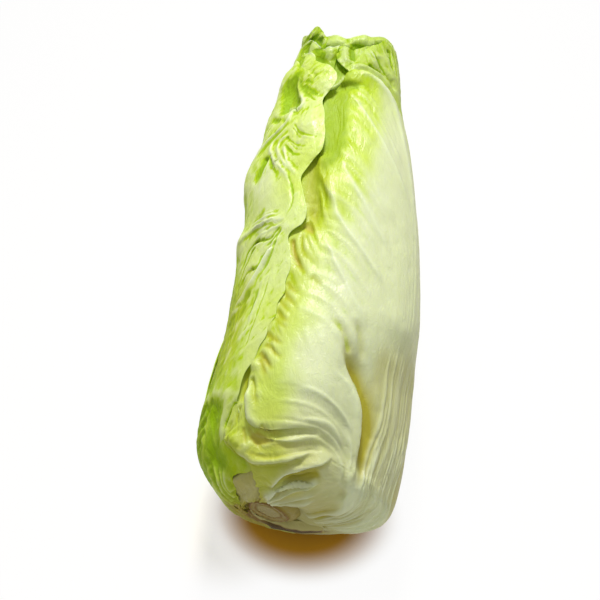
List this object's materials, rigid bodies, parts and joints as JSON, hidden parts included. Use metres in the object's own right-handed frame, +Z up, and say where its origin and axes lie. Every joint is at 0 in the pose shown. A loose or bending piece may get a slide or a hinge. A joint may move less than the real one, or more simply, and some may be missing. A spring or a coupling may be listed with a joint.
{
  "type": "sugarloaf chicory",
  "caption": "Long, blunt head of leafy salad chicory lying on its side, cut stem at one end, overlapping wrapper leaves with a ruffled seam, loose leaf tips at the other end.",
  "frame": {"origin": "centre of the head's bounding box, on the plane it rests on", "axes": "+Z up; +Y along the head from the cut stem to the leaf tips; +X to the right seen from the stem end"},
  "size_m": [0.1252, 0.3682, 0.1084],
  "materials": {
    "outer_leaf": "smooth waxy leaf, pale yellow-green with white veins, soft satin sheen",
    "inner_leaf": "thin bright green leaf, slightly translucent, satin",
    "heart_leaf": "blanched pale yellow leaf, satin",
    "trimmed_leaf": "torn green leaf base, dull and slightly dry",
    "stem": "cut stem, pale cream with a brownish ring"
  },
  "bodies": {
    "root": {"stem": "stem", "right_wrapper_leaf": "outer_leaf", "left_wrapper_leaf": "outer_leaf", "back_wrapper_leaf": "outer_leaf", "inner_leaf_1": "inner_leaf", "inner_leaf_2": "inner_leaf", "inner_leaf_3": "inner_leaf", "inner_leaf_4": "inner_leaf", "inner_leaf_5": "inner_leaf", "inner_leaf_6": "inner_leaf", "heart_leaf_1": "heart_leaf", "heart_leaf_2": "heart_leaf", "heart_leaf_3": "heart_leaf", "heart_leaf_4": "heart_leaf", "heart_leaf_5": "heart_leaf", "heart_leaf_6": "heart_leaf", "heart_leaf_7": "heart_leaf", "heart_leaf_8": "heart_leaf", "heart_leaf_9": "heart_leaf", "heart_leaf_10": "heart_leaf", "trimmed_leaf_stub_left": "trimmed_leaf", "trimmed_leaf_stub_below": "trimmed_leaf"}
  },
  "joints": []
}
